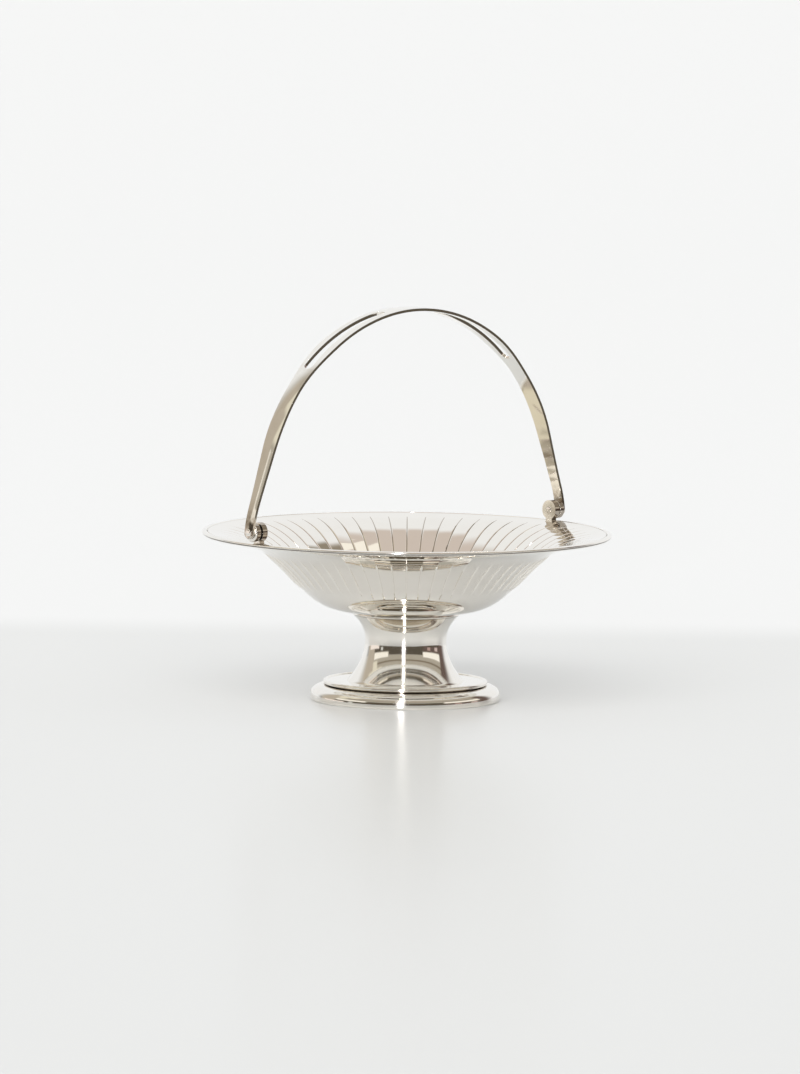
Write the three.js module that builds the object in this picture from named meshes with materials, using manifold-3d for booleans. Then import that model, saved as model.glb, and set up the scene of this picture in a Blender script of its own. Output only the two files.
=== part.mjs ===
// Pedestal fruit bowl with a swing handle, in polished silver plate. Millimetres, +Z up.
// The origin is at the centre of the foot's underside, and the handle turns about an axis along X.
import * as THREE from "three";
import { mergeVertices } from "three/addons/utils/BufferGeometryUtils.js";
import Module from "manifold-3d";

const wasm = await Module();
wasm.setup();

// Seams and clearances
const seam = 0.3; // between pieces that are soldered together
const runningGap = 0.9; // between a knuckle and the lug that it turns against
const pinClearance = 0.1; // round the hinge pin
const endPlay = 0.3; // under each head of the hinge pin
const rimClearance = 0.4; // between the rim wire and the knuckle above it

// Bowl, whose radii and heights are those of the middle of its metal
const bowlSheet = 1.2; // thickness of the metal
const brimRadius = 112; // cut edge of the brim
const brimWidth = 9; // plain band outside the creased wall
const floorRadius = 36; // where the floor turns into the wall
const rimHeight = 94; // edge of the brim above the table
const floorHeight = 51.2;
const brimSlope = THREE.MathUtils.degToRad(9);
const wallFootSlope = THREE.MathUtils.degToRad(3.4);
const wallFootReach = 27; // how far the wall follows its slope at the floor
const wallTopReach = 36.5; // how far the wall follows the brim's slope at the top
const wireRadius = 1.35; // rim wire

// Creases pressed outwards in the wall, running from the shoulder inwards
const creaseCount = 60;
const creaseDepth = 0.5;
const creaseHalfWidth = 1;
const creaseInnerRadius = 59;

// Collar under the floor
const collarHeight = 1.8;
const collarFlareRadius = 32.5;
const collarBeadRadius = 0.4;
const collarFlarePower = 2;

// Hollow stem
const stemWall = 1.2;
const stemNeckRadius = 30;
const stemWaistRadius = 23.2;
const stemWaistHeight = 31;
const stemFootRadius = 32.6;
const stemNeckPower = 2.5; // how suddenly the stem flares at its top
const stemFootPower = 2;

// Foot: a ledge with a rolled edge over a bulging base ring
const ledgeRadius = 46.3;
const ledgeHeight = 10.05; // middle of the rolled edge
const ledgeRollRadius = 1.25;
const ledgePlate = 1.2;
const ledgeBoreRadius = 29;
const baseRadius = 53.5;
const baseLipHeight = 1.5; // height of the base's widest point
const baseTreadInset = 0.9; // from the widest point to the flat that rests on the table
const baseTreadWidth = 2.4;
const baseWall = 1.4;
const baseFullness = 2.75; // 2 would make its bulge a quarter of an ellipse, and more is squarer

// Hinges
const knuckleRadius = 5.2;
const knuckleThickness = 2.8;
const knuckleRound = 0.8;
const lugRadius = 5.5;
const lugThickness = 3.4;
const lugRound = 0.6;
const lugNeckWidth = 5;
const lugFootWidth = 6.6;
const lugFootFlare = 0.9; // height over which the neck widens into the foot
const pinRadius = 1.5;
const pinHeadRadius = 2.2;
const pinHeadHeight = 0.6;

// Handle strap, measured along its middle line from the hinge pins
const strapThickness = 1.8;
const strapWidthAtHinge = 6.8;
const strapWidthAtLeg = 10.6;
const strapWidthAtSlot = 15.8;
const strapWidthAtCrown = 15;
const legWideningStart = 10;
const legWideningEnd = 66;
const slotWideningStart = 84;
const slotWideningEnd = 120;
const crownNarrowing = 35; // distance from the crown over which the strap narrows again
const tabLength = 5.3; // upright part that lies against the knuckle
const bendRadius = 11.5;
const legLean = THREE.MathUtils.degToRad(18.9);
const archHeight = 119.4; // strap's middle above the hinge axis at the crown
const slotWidth = 6.6;
const slotStart = 99;
const slotBridge = 40; // solid metal at the crown between the two slots

// Facets
const wallSteps = 6;
const ringSides = 48;
const rimSides = 64;
const curveSteps = 4;
const collarSteps = 2;
const roundSteps = 2; // in a quarter circle
const endSteps = 4; // in a quarter of the strap's and the slots' round ends
const bendSteps = 3;
const legSteps = 6;
const slotSteps = 8;
const bulgeSteps = 5;
const knuckleSides = 20;
const lugSides = 20;
const pinSides = 16;

// Places that follow from the sizes above
const shoulderRadius = brimRadius - brimWidth;
const wireCentreRadius = brimRadius + seam + wireRadius;
const floorUnderside = floorHeight - bowlSheet / 2;
const collarTop = floorUnderside - seam;
const collarBottom = collarTop - collarHeight;
const stemTop = collarBottom - seam;
const ledgeTop = ledgeHeight + ledgePlate / 2;
const ledgeUnderside = ledgeHeight - ledgePlate / 2;
const stemBottom = ledgeTop + seam;
const baseTop = ledgeUnderside - seam;
const baseTreadRadius = baseRadius - baseTreadInset;
const baseNeckRadius = ledgeRadius - 2 * ledgeRollRadius - seam;
const baseShoulderHeight = ledgeHeight - ledgeRollRadius - seam;
const hingeHeight = rimHeight + wireRadius + rimClearance + knuckleRadius;
const lugOuterFace = brimRadius;
const lugInnerFace = lugOuterFace - lugThickness;
const knuckleInnerFace = lugOuterFace + runningGap;
const knuckleOuterFace = knuckleInnerFace + knuckleThickness;
const strapHingeX = knuckleOuterFace + strapThickness / 2;
const pinHoleRadius = pinRadius + pinClearance;

// A closed outline in (radius, height), turned round Z. It runs anticlockwise.
function turned(outline, sides = ringSides) {
  return new THREE.LatheGeometry([...outline, outline[0]], sides).rotateX(Math.PI / 2);
}

// The same outline turned round X, with the second value measured along X.
function turnedRoundX(outline, closed, sides = pinSides) {
  const points = closed ? [...outline, outline[0]] : outline;
  return new THREE.LatheGeometry(points, sides).rotateZ(-Math.PI / 2);
}

// Points on a quarter circle about a centre, from one angle in quarter turns to the next.
function quarter(x, y, radius, fromQuarter) {
  const points = [];
  for (let i = 0; i <= roundSteps; i++) {
    const angle = ((fromQuarter + i / roundSteps) * Math.PI) / 2;
    points.push(new THREE.Vector2(x + radius * Math.cos(angle), y + radius * Math.sin(angle)));
  }
  return points;
}

// A radius that flares from one value to another with a power of the distance.
function flare(fromRadius, toRadius, fromHeight, toHeight, power, steps = curveSteps) {
  const points = [];
  for (let i = 0; i <= steps; i++) {
    const u = i / steps;
    const radius = fromRadius + (toRadius - fromRadius) * u ** power;
    points.push(new THREE.Vector2(radius, fromHeight + (toHeight - fromHeight) * u));
  }
  return points;
}

// A bulging outline from its widest point up and in to its top.
function bulge(topRadius, widestRadius, widestHeight, topHeight) {
  const points = [];
  for (let i = 0; i <= bulgeSteps; i++) {
    const angle = (i / bulgeSteps) * (Math.PI / 2);
    const out = Math.cos(angle) ** (2 / baseFullness);
    const up = Math.sin(angle) ** (2 / baseFullness);
    const radius = topRadius + (widestRadius - topRadius) * out;
    points.push(new THREE.Vector2(radius, widestHeight + (topHeight - widestHeight) * up));
  }
  return points;
}

function shiftRadius(points, by) {
  return points.map((p) => new THREE.Vector2(p.x + by, p.y));
}

// One closed surface from four-cornered faces. Corners at one place are shared,
// and a face that has shrunk to a line is left out.
function surfaceFromFaces(faces) {
  const positions = faces.flatMap(([a, b, c, d]) => [a, b, c, a, c, d]).flatMap((p) => p.toArray());
  const loose = new THREE.BufferGeometry();
  loose.setAttribute("position", new THREE.Float32BufferAttribute(positions, 3));
  return weld(loose);
}

function weld(geometry) {
  const bare = geometry.clone();
  bare.deleteAttribute("normal");
  bare.deleteAttribute("uv");
  const shared = mergeVertices(bare, 1e-4);
  const index = shared.index.array;
  const kept = [];
  for (let i = 0; i < index.length; i += 3) {
    const [a, b, c] = [index[i], index[i + 1], index[i + 2]];
    if (a !== b && b !== c && c !== a) kept.push(a, b, c);
  }
  shared.setIndex(kept);
  return shared;
}

function toSolid(geometry) {
  const welded = weld(geometry);
  const mesh = new wasm.Mesh({
    numProp: 3,
    vertProperties: new Float32Array(welded.attributes.position.array),
    triVerts: new Uint32Array(welded.index.array),
  });
  return new wasm.Manifold(mesh);
}

function fromSolid(solid) {
  const mesh = solid.getMesh();
  const geometry = new THREE.BufferGeometry();
  geometry.setAttribute("position", new THREE.Float32BufferAttribute(mesh.vertProperties, 3));
  geometry.setIndex([...mesh.triVerts]);
  return geometry;
}

// Bowl

// The brim's middle line at a radius, which the lugs' feet also follow.
function brimHeightAt(radius) {
  return rimHeight - (brimRadius - radius) * Math.tan(brimSlope);
}

// Stations along the middle of the metal, each with its slope and how deep its creases are.
function bowlStations() {
  const floorEdge = new THREE.Vector2(floorRadius, floorHeight);
  const shoulder = new THREE.Vector2(shoulderRadius, brimHeightAt(shoulderRadius));
  const along = (slope, reach) => new THREE.Vector2(Math.cos(slope), Math.sin(slope)).multiplyScalar(reach);
  const wall = new THREE.CubicBezierCurve(
    floorEdge,
    floorEdge.clone().add(along(wallFootSlope, wallFootReach)),
    shoulder.clone().sub(along(brimSlope, wallTopReach)),
    shoulder,
  );
  const stations = wall.getPoints(wallSteps).map((point, i) => {
    const tangent = wall.getTangent(i / wallSteps);
    const creased = point.x > creaseInnerRadius && i < wallSteps;
    return { point, slope: i > 0 ? Math.atan2(tangent.y, tangent.x) : 0, crease: creased ? 1 : 0 };
  });
  stations.push({ point: new THREE.Vector2(brimRadius, rimHeight), slope: brimSlope, crease: 0 });
  return stations;
}

// A ring of corners: three to each crease, of which the middle one is pushed outwards.
// The offset is upwards from the middle of the metal.
function bowlRing(station, offset) {
  const ring = [];
  for (let k = 0; k < creaseCount; k++) {
    for (const place of [-1, 0, 1]) {
      const push = place === 0 ? station.crease * creaseDepth : 0;
      const lift = offset - push;
      const radius = station.point.x - lift * Math.sin(station.slope);
      const height = station.point.y + lift * Math.cos(station.slope);
      const angle = (k * 2 * Math.PI) / creaseCount + (place * creaseHalfWidth) / station.point.x;
      ring.push(new THREE.Vector3(radius * Math.cos(angle), radius * Math.sin(angle), height));
    }
  }
  return ring;
}

function bowlShell() {
  const stations = bowlStations();
  const under = stations.map((station) => bowlRing(station, -bowlSheet / 2));
  const upper = stations.map((station) => bowlRing(station, bowlSheet / 2));
  const columns = under[0].length;
  const pole = (offset) => new Array(columns).fill(new THREE.Vector3(0, 0, floorHeight + offset));
  const rings = [pole(-bowlSheet / 2), ...under, ...upper.reverse(), pole(bowlSheet / 2)];
  const faces = [];
  for (let i = 0; i + 1 < rings.length; i++) {
    for (let k = 0; k < columns; k++) {
      const next = (k + 1) % columns;
      faces.push([rings[i][k], rings[i][next], rings[i + 1][next], rings[i + 1][k]]);
    }
  }
  return surfaceFromFaces(faces);
}

function rimWire() {
  const quarterOf = (q) => quarter(wireCentreRadius, rimHeight, wireRadius, q).slice(1);
  return turned([0, 1, 2, 3].flatMap(quarterOf), rimSides);
}

// Stem and foot

function stemCollar() {
  const bore = stemNeckRadius - stemWall;
  const beadCentre = collarBottom + collarBeadRadius;
  const beadTop = beadCentre + collarBeadRadius;
  const flareTop = collarTop - seam;
  const flaring = flare(stemNeckRadius, collarFlareRadius, beadTop, flareTop, collarFlarePower, collarSteps);
  return turned([
    new THREE.Vector2(bore, collarTop),
    new THREE.Vector2(bore, collarBottom),
    ...quarter(stemNeckRadius, beadCentre, collarBeadRadius, -1),
    ...quarter(stemNeckRadius, beadCentre, collarBeadRadius, 0).slice(1),
    ...flaring.slice(1),
    new THREE.Vector2(collarFlareRadius, collarTop),
  ]);
}

function stem() {
  const lower = flare(stemWaistRadius, stemFootRadius, stemWaistHeight, stemBottom, stemFootPower).reverse();
  const upper = flare(stemWaistRadius, stemNeckRadius, stemWaistHeight, stemTop, stemNeckPower);
  const outside = [...lower, ...upper.slice(1)];
  return turned([...outside, ...shiftRadius(outside, -stemWall).reverse()]);
}

function footLedge() {
  const rollCentre = ledgeRadius - ledgeRollRadius;
  const plateEdge = rollCentre - Math.sqrt(ledgeRollRadius ** 2 - (ledgePlate / 2) ** 2);
  return turned([
    new THREE.Vector2(ledgeBoreRadius, ledgeTop),
    new THREE.Vector2(ledgeBoreRadius, ledgeUnderside),
    new THREE.Vector2(plateEdge, ledgeUnderside),
    ...quarter(rollCentre, ledgeHeight, ledgeRollRadius, -1),
    ...quarter(rollCentre, ledgeHeight, ledgeRollRadius, 0).slice(1),
    new THREE.Vector2(plateEdge, ledgeTop),
  ]);
}

function footBase() {
  const bore = baseNeckRadius - baseWall;
  const insideTop = baseShoulderHeight - baseWall;
  const inside = bulge(bore, baseRadius - baseWall, baseLipHeight, insideTop).reverse();
  const outside = bulge(baseNeckRadius, baseRadius, baseLipHeight, baseShoulderHeight);
  const lip = new THREE.QuadraticBezierCurve(
    new THREE.Vector2(baseTreadRadius, 0),
    new THREE.Vector2(baseRadius, 0),
    outside[0],
  );
  return turned([
    new THREE.Vector2(bore, baseTop),
    ...inside,
    new THREE.Vector2(baseTreadRadius - baseTreadWidth, 0),
    ...lip.getPoints(roundSteps),
    ...outside.slice(1),
    new THREE.Vector2(baseNeckRadius, baseTop),
  ]);
}

// Hinges, drawn for the +X side about the hinge axis

// A ring that fills the brim's metal, the seam on it and the space underneath.
function brimBlock() {
  const inner = lugInnerFace - lugThickness;
  const outer = lugOuterFace + lugThickness;
  const bottom = brimHeightAt(inner) - lugThickness;
  const lift = bowlSheet / 2 / Math.cos(brimSlope) + seam;
  return turned([
    new THREE.Vector2(inner, bottom),
    new THREE.Vector2(outer, bottom),
    new THREE.Vector2(outer, brimHeightAt(outer) + lift),
    new THREE.Vector2(inner, brimHeightAt(inner) + lift),
  ], rimSides);
}

function lug() {
  const neck = lugNeckWidth / 2;
  const foot = lugFootWidth / 2;
  const seat = brimHeightAt(lugInnerFace) + bowlSheet / 2 + seam - hingeHeight;
  const bottom = seat - lugThickness; // below the brim, where the block cuts it off
  const join = Math.asin(neck / lugRadius);
  const outline = new THREE.Shape();
  outline.moveTo(-foot, bottom);
  outline.lineTo(foot, bottom);
  outline.lineTo(foot, seat);
  outline.quadraticCurveTo(neck, seat, neck, seat + lugFootFlare);
  outline.absarc(0, 0, lugRadius, join - Math.PI / 2, (3 * Math.PI) / 2 - join, false);
  outline.lineTo(-neck, seat + lugFootFlare);
  outline.quadraticCurveTo(-neck, seat, -foot, seat);
  const hole = new THREE.Path();
  hole.absarc(0, 0, pinHoleRadius, 0, 2 * Math.PI, true);
  outline.holes.push(hole);
  const blank = new THREE.ExtrudeGeometry(outline, {
    depth: lugThickness - 2 * lugRound,
    bevelThickness: lugRound,
    bevelSize: lugRound,
    bevelOffset: -lugRound,
    bevelSegments: 1,
    curveSegments: lugSides / 2,
  });
  blank.rotateX(Math.PI / 2).rotateZ(Math.PI / 2);
  blank.translate(lugInnerFace + lugRound, 0, hingeHeight);
  return fromSolid(toSolid(blank).subtract(toSolid(brimBlock())));
}

function hingePin() {
  const innerSeat = lugInnerFace - endPlay;
  const outerSeat = knuckleOuterFace + strapThickness + endPlay;
  const dome = (seat, outward) => {
    return quarter(0, 0, 1, 0).reverse().map((p) => {
      return new THREE.Vector2(pinHeadRadius * p.x, seat + outward * pinHeadHeight * p.y);
    });
  };
  return turnedRoundX([
    ...dome(innerSeat, -1),
    new THREE.Vector2(pinRadius, innerSeat),
    new THREE.Vector2(pinRadius, outerSeat),
    ...dome(outerSeat, 1).reverse(),
  ], false);
}

function knuckle() {
  return turnedRoundX([
    new THREE.Vector2(pinHoleRadius, knuckleOuterFace),
    new THREE.Vector2(pinHoleRadius, knuckleInnerFace),
    ...quarter(knuckleRadius - knuckleRound, knuckleInnerFace + knuckleRound, knuckleRound, -1),
    new THREE.Vector2(knuckleRadius, knuckleOuterFace),
  ], true, knuckleSides);
}

// Handle strap

// The middle line leaves the hinge upright, bends to the leg's lean, runs straight
// and then follows one circle over the crown.
const bendEnd = new THREE.Vector2(
  strapHingeX - bendRadius * (1 - Math.cos(legLean)),
  tabLength + bendRadius * Math.sin(legLean),
);
const legOffset = bendEnd.x * Math.cos(legLean) + bendEnd.y * Math.sin(legLean);
const crownRadius = (legOffset - archHeight * Math.sin(legLean)) / (1 - Math.sin(legLean));
const crownCentre = archHeight - crownRadius;
const legLength = (crownCentre + crownRadius * Math.sin(legLean) - bendEnd.y) / Math.cos(legLean);
const bendLength = bendRadius * legLean;
const legEnd = tabLength + bendLength + legLength;
const halfLength = legEnd + crownRadius * (Math.PI / 2 - legLean);

function strapMiddle(distance) {
  if (distance <= tabLength) return { x: strapHingeX, z: distance, lean: 0 };
  if (distance <= tabLength + bendLength) {
    const lean = (distance - tabLength) / bendRadius;
    const x = strapHingeX - bendRadius * (1 - Math.cos(lean));
    return { x, z: tabLength + bendRadius * Math.sin(lean), lean };
  }
  if (distance <= legEnd) {
    const run = distance - tabLength - bendLength;
    const x = bendEnd.x - run * Math.sin(legLean);
    return { x, z: bendEnd.y + run * Math.cos(legLean), lean: legLean };
  }
  const lean = legLean + (distance - legEnd) / crownRadius;
  return { x: crownRadius * Math.cos(lean), z: crownCentre + crownRadius * Math.sin(lean), lean };
}

function strapHalfWidth(distance) {
  const endRadius = strapWidthAtHinge / 2;
  if (distance < 0) return Math.sqrt(Math.max(0, endRadius ** 2 - distance ** 2));
  const { smoothstep } = THREE.MathUtils;
  const leg = smoothstep(distance, legWideningStart, legWideningEnd);
  const slot = smoothstep(distance, slotWideningStart, slotWideningEnd);
  const crown = smoothstep(distance, halfLength - crownNarrowing, halfLength);
  const width = strapWidthAtHinge
    + leg * (strapWidthAtLeg - strapWidthAtHinge)
    + slot * (strapWidthAtSlot - strapWidthAtLeg)
    + crown * (strapWidthAtCrown - strapWidthAtSlot);
  return width / 2;
}

// Half the slot's width: round at both ends, nothing outside it.
function slotHalfWidth(distance) {
  const endRadius = slotWidth / 2;
  const slotEnd = halfLength - slotBridge / 2;
  const fromEnd = Math.min(distance - slotStart, slotEnd - distance);
  if (fromEnd <= 0) return 0;
  const inset = Math.max(0, endRadius - fromEnd);
  return Math.sqrt(endRadius ** 2 - inset ** 2);
}

// Distances from the hinge at which the strap gets a cross-section.
function strapStations() {
  const spread = (from, to, steps) => {
    return Array.from({ length: steps }, (_, i) => from + ((to - from) * i) / steps);
  };
  const roundEnd = (from, towards, radius) => {
    return spread(0, 1, endSteps).map((u) => from + towards * radius * (1 - Math.cos((u * Math.PI) / 2)));
  };
  const endRadius = strapWidthAtHinge / 2;
  const slotRadius = slotWidth / 2;
  const slotEnd = halfLength - slotBridge / 2;
  return [
    ...roundEnd(-endRadius, 1, endRadius),
    0,
    ...spread(tabLength, tabLength + bendLength, bendSteps),
    ...spread(tabLength + bendLength, legEnd, legSteps),
    ...spread(legEnd, slotStart, legSteps),
    ...roundEnd(slotStart, 1, slotRadius),
    ...spread(slotStart + slotRadius, slotEnd - slotRadius, slotSteps),
    slotEnd - slotRadius,
    ...roundEnd(slotEnd, -1, slotRadius).reverse(),
    ...spread(slotEnd, halfLength, bendSteps).slice(1),
    halfLength,
  ];
}

// Eight corners of a cross-section: across the strap from edge to slot to slot to edge,
// on its outer face and then on its inner face.
function strapSection(distance, side) {
  const { x, z, lean } = strapMiddle(distance);
  const edge = strapHalfWidth(distance);
  const slot = slotHalfWidth(distance);
  const corner = (y, out) => {
    const across = x + out * Math.cos(lean);
    return new THREE.Vector3(side * across, y, z + out * Math.sin(lean));
  };
  const row = (out) => [-edge, -slot, slot, edge].map((y) => corner(y, out));
  return { outer: row(strapThickness / 2), inner: row(-strapThickness / 2), open: slot > 0 };
}

function handleStrap() {
  const right = strapStations().map((distance) => strapSection(distance, 1));
  const left = strapStations().map((distance) => strapSection(distance, -1));
  const sections = [...right, ...left.reverse().slice(1)];
  const faces = [];
  for (let i = 0; i + 1 < sections.length; i++) {
    const [a, b] = [sections[i], sections[i + 1]];
    for (const column of [0, 2]) {
      faces.push([a.outer[column], a.outer[column + 1], b.outer[column + 1], b.outer[column]]);
      faces.push([a.inner[column + 1], a.inner[column], b.inner[column], b.inner[column + 1]]);
    }
    faces.push([a.inner[0], a.outer[0], b.outer[0], b.inner[0]]);
    faces.push([a.outer[3], a.inner[3], b.inner[3], b.outer[3]]);
    if (a.open || b.open) {
      faces.push([a.outer[1], a.inner[1], b.inner[1], b.outer[1]]);
      faces.push([a.inner[2], a.outer[2], b.outer[2], b.inner[2]]);
    }
  }
  let strap = toSolid(surfaceFromFaces(faces));
  for (const side of [1, -1]) {
    const drill = new THREE.CylinderGeometry(pinHoleRadius, pinHoleRadius, 4 * strapThickness, pinSides);
    drill.rotateZ(Math.PI / 2).translate(side * strapHingeX, 0, 0);
    strap = strap.subtract(toSolid(drill));
  }
  return fromSolid(strap);
}

// Assembly

function piece(name, geometry) {
  const silverPlate = new THREE.MeshStandardMaterial({ color: 0xdcd8d0, metalness: 1, roughness: 0.1 });
  const mesh = new THREE.Mesh(geometry, silverPlate);
  mesh.name = name;
  return mesh;
}

const basket = new THREE.Group();
basket.add(
  piece("bowl_shell", bowlShell()),
  piece("rim_wire", rimWire()),
  piece("stem_collar", stemCollar()),
  piece("stem", stem()),
  piece("foot_ledge", footLedge()),
  piece("foot_base", footBase()),
);

const handle = new THREE.Group();
handle.position.z = hingeHeight;
handle.add(piece("handle_strap", handleStrap()));
basket.add(handle);

for (const [label, turn] of [["right", 0], ["left", Math.PI]]) {
  const lugMesh = piece(`lug_${label}`, lug());
  lugMesh.rotation.z = turn;
  const pinMesh = piece(`hinge_pin_${label}`, hingePin());
  pinMesh.rotation.z = turn;
  pinMesh.position.z = hingeHeight;
  const knuckleMesh = piece(`knuckle_${label}`, knuckle());
  knuckleMesh.rotation.z = turn;
  basket.add(lugMesh, pinMesh);
  handle.add(knuckleMesh);
}

export default basket;
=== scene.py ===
"""Looks of a silver-plated pedestal fruit bowl with a swing handle.

Lengths are in millimetres until a mesh is made, and in metres for the camera and the table.
"""

import math

import bmesh
import bpy
from mathutils import Matrix, Vector


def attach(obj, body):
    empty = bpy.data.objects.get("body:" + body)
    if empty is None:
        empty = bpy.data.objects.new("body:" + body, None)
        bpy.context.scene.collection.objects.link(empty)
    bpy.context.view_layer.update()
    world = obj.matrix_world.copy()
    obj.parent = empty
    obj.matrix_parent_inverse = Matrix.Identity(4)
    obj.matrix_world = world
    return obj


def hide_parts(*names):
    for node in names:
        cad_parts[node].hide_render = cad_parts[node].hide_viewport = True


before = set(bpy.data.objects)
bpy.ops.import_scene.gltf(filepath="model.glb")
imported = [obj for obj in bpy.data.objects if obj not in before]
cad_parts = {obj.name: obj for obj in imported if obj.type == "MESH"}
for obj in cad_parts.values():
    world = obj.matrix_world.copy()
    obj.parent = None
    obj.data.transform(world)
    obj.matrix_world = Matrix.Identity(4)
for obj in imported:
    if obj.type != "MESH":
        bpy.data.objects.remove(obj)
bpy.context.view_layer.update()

MM = 0.001
TAU = 2 * math.pi

# Sizes, those of the solids in the frame where both have the form

SEAM = 0.3  # between two soldered pieces
SHEET = 1.2

# Bowl: its wall is one curve from the floor to the shoulder, with a reach and a slope at each end
BRIM_R, SHOULDER_R, FLOOR_R = 112.0, 103.0, 36.0
RIM_Z, FLOOR_Z = 94.0, 51.2
BRIM_SLOPE, FOOT_SLOPE = math.radians(9), math.radians(3.4)
FOOT_REACH, TOP_REACH = 27.0, 36.5
CREASES, CREASE_DEPTH, CREASE_HALF = 60, 0.35, 0.45
CREASE_IN, CREASE_FADE_IN, CREASE_FADE_OUT = 59.0, 5, 1.5
RIDGE_DEPTH, RIDGE_HALF = 0.6, 0.42  # the same creases underneath
RIDGE_TOP = 0.36  # share of the ridge's width that is flat
RIDGE_OUT, RIDGE_FADE = 82.0, 6  # past here the creases no longer stand out underneath
PANEL_FLATNESS = 0.8  # of the metal between two creases: 0 is round, 1 is flat

# Wire on the brim's edge
WIRE_R = 1.35
WIRE_CENTRE = BRIM_R + SEAM + WIRE_R
WIRE_HALF_HEIGHT, WIRE_DROP = 1.05, 0.25
WIRE_FULLNESS, WIRE_TILT = 3.2, math.radians(-14)  # a fullness of 2 is round

# Collar, stem and foot
COLLAR_TOP = FLOOR_Z - SHEET / 2
COLLAR_BOTTOM = COLLAR_TOP - SEAM - 1.8
COLLAR_FLARE, BEAD_R = 32.5, 0.4
STEM_TOP = COLLAR_BOTTOM - SEAM
NECK_R, WAIST_R, WAIST_Z, STEM_FOOT_R = 30.0, 23.0, 33.6, 32.6
NECK_POWER, FOOT_POWER = 2.2, 2.0
LEDGE_R, LEDGE_Z, ROLL_R, PLATE = 46.3, 10.05, 1.25, 1.2
LEDGE_BORE = 29.0
BASE_R, BASE_LIP, TREAD_R, TREAD_W, BASE_WALL, FULLNESS = 53.5, 1.5, 52.6, 2.4, 1.4, 2.75

# Hinges and strap
KNUCKLE_R, LUG_R = 5.2, 5.5
HINGE_Z = RIM_Z + WIRE_R + 0.4 + KNUCKLE_R
LUG_IN, LUG_OUT = 108.6, 112.0
NECK_HALF, NECK_FOOT, NECK_FLARE, LUG_BEVEL = 2.5, 3.3, 0.9, 0.4
KNUCKLE_IN, KNUCKLE_OUT, KNUCKLE_BOSS = 112.9, 115.7, 0.7
STRAP_T, STRAP_END, STRAP_CROWN, STRAP_BEVEL = 1.8, 3.4, 0.3, 0.6
STRAP_X = KNUCKLE_OUT + STRAP_T / 2
PIN_R, HOLE_R, HEAD_R, HEAD_H = 1.5, 1.6, 2.2, 0.35
TAB, BEND_R, LEAN, ARCH = 5.3, 11.5, math.radians(18.9), 119.4
HINGE_LEAN, LEAN_REACH = math.radians(6), 14.0
SLOT_W, SLOT_START, BRIDGE = 6.6, 99.0, 40.0

SIDES, WIRE_SIDES, KNUCKLE_SIDES, PIN_SIDES = 192, 288, 72, 48


# Mesh helpers

def new_object(name, verts, faces, sharp=math.radians(32)):
    """A smooth closed mesh in metres, with hard edges where two faces meet at more than the sharp angle."""
    mesh = bpy.data.meshes.new(name)
    mesh.from_pydata([tuple(c * MM for c in v) for v in verts], [], faces)
    bm = bmesh.new()
    bm.from_mesh(mesh)
    bmesh.ops.remove_doubles(bm, verts=bm.verts, dist=1e-6)
    bmesh.ops.recalc_face_normals(bm, faces=bm.faces)
    for face in bm.faces:
        face.smooth = True
    for edge in bm.edges:
        edge.smooth = not (edge.is_manifold and edge.calc_face_angle(0) > sharp)
    bm.to_mesh(mesh)
    bm.free()
    obj = bpy.data.objects.new(name, mesh)
    bpy.context.scene.collection.objects.link(obj)
    return obj


def arc(x, y, r, start, end, steps):
    """Points on a circle from one angle to another, in degrees."""
    out = []
    for i in range(steps + 1):
        a = math.radians(start + (end - start) * i / steps)
        out.append((x + r * math.cos(a), y + r * math.sin(a)))
    return out


def flare(r0, r1, z0, z1, power, steps):
    """Points up a curve that starts straight up and spreads with the power."""
    out = []
    for i in range(steps + 1):
        out.append((r0 + (r1 - r0) * (i / steps) ** power, z0 + (z1 - z0) * i / steps))
    return out


def lathe(name, outline, sides, axis="z", centre=(0, 0, 0)):
    """A closed outline of radius and height turned round Z, or round X with the height along X."""
    cx, cy, cz = centre
    verts, faces = [], []
    n = len(outline)
    for k in range(sides):
        a = TAU * k / sides
        for r, h in outline:
            if axis == "z":
                verts.append((r * math.cos(a), r * math.sin(a), h))
            else:
                verts.append((cx + h, cy + r * math.cos(a), cz + r * math.sin(a)))
    for k in range(sides):
        m = (k + 1) % sides
        for i in range(n):
            j = (i + 1) % n
            faces.append((k * n + i, m * n + i, m * n + j, k * n + j))
    obj = new_object(name, verts, faces)
    drop_empty_faces(obj)
    return obj


def drop_empty_faces(obj):
    bm = bmesh.new()
    bm.from_mesh(obj.data)
    bmesh.ops.dissolve_degenerate(bm, edges=bm.edges, dist=1e-7)
    bm.to_mesh(obj.data)
    bm.free()


# Bowl

def bezier(points, t):
    """Radius and height at t along a curve with four control points."""
    u = 1 - t
    shares = (u ** 3, 3 * u * u * t, 3 * u * t * t, t ** 3)
    return tuple(sum(share * v for share, v in zip(shares, values)) for values in zip(*points))


def bezier_slope(points, t):
    u = 1 - t
    shares = (3 * u * u, 6 * u * t, 3 * t * t)
    steps = [tuple(b - a for a, b in zip(one, other)) for one, other in zip(points, points[1:])]
    out, rise = (sum(share * v for share, v in zip(shares, values)) for values in zip(*steps))
    return math.atan2(rise, out)


def smooth(x, a, b):
    """From 0 at a to 1 at b, smoothly."""
    t = min(1.0, max(0.0, (x - a) / (b - a)))
    return t * t * (3 - 2 * t)


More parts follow.
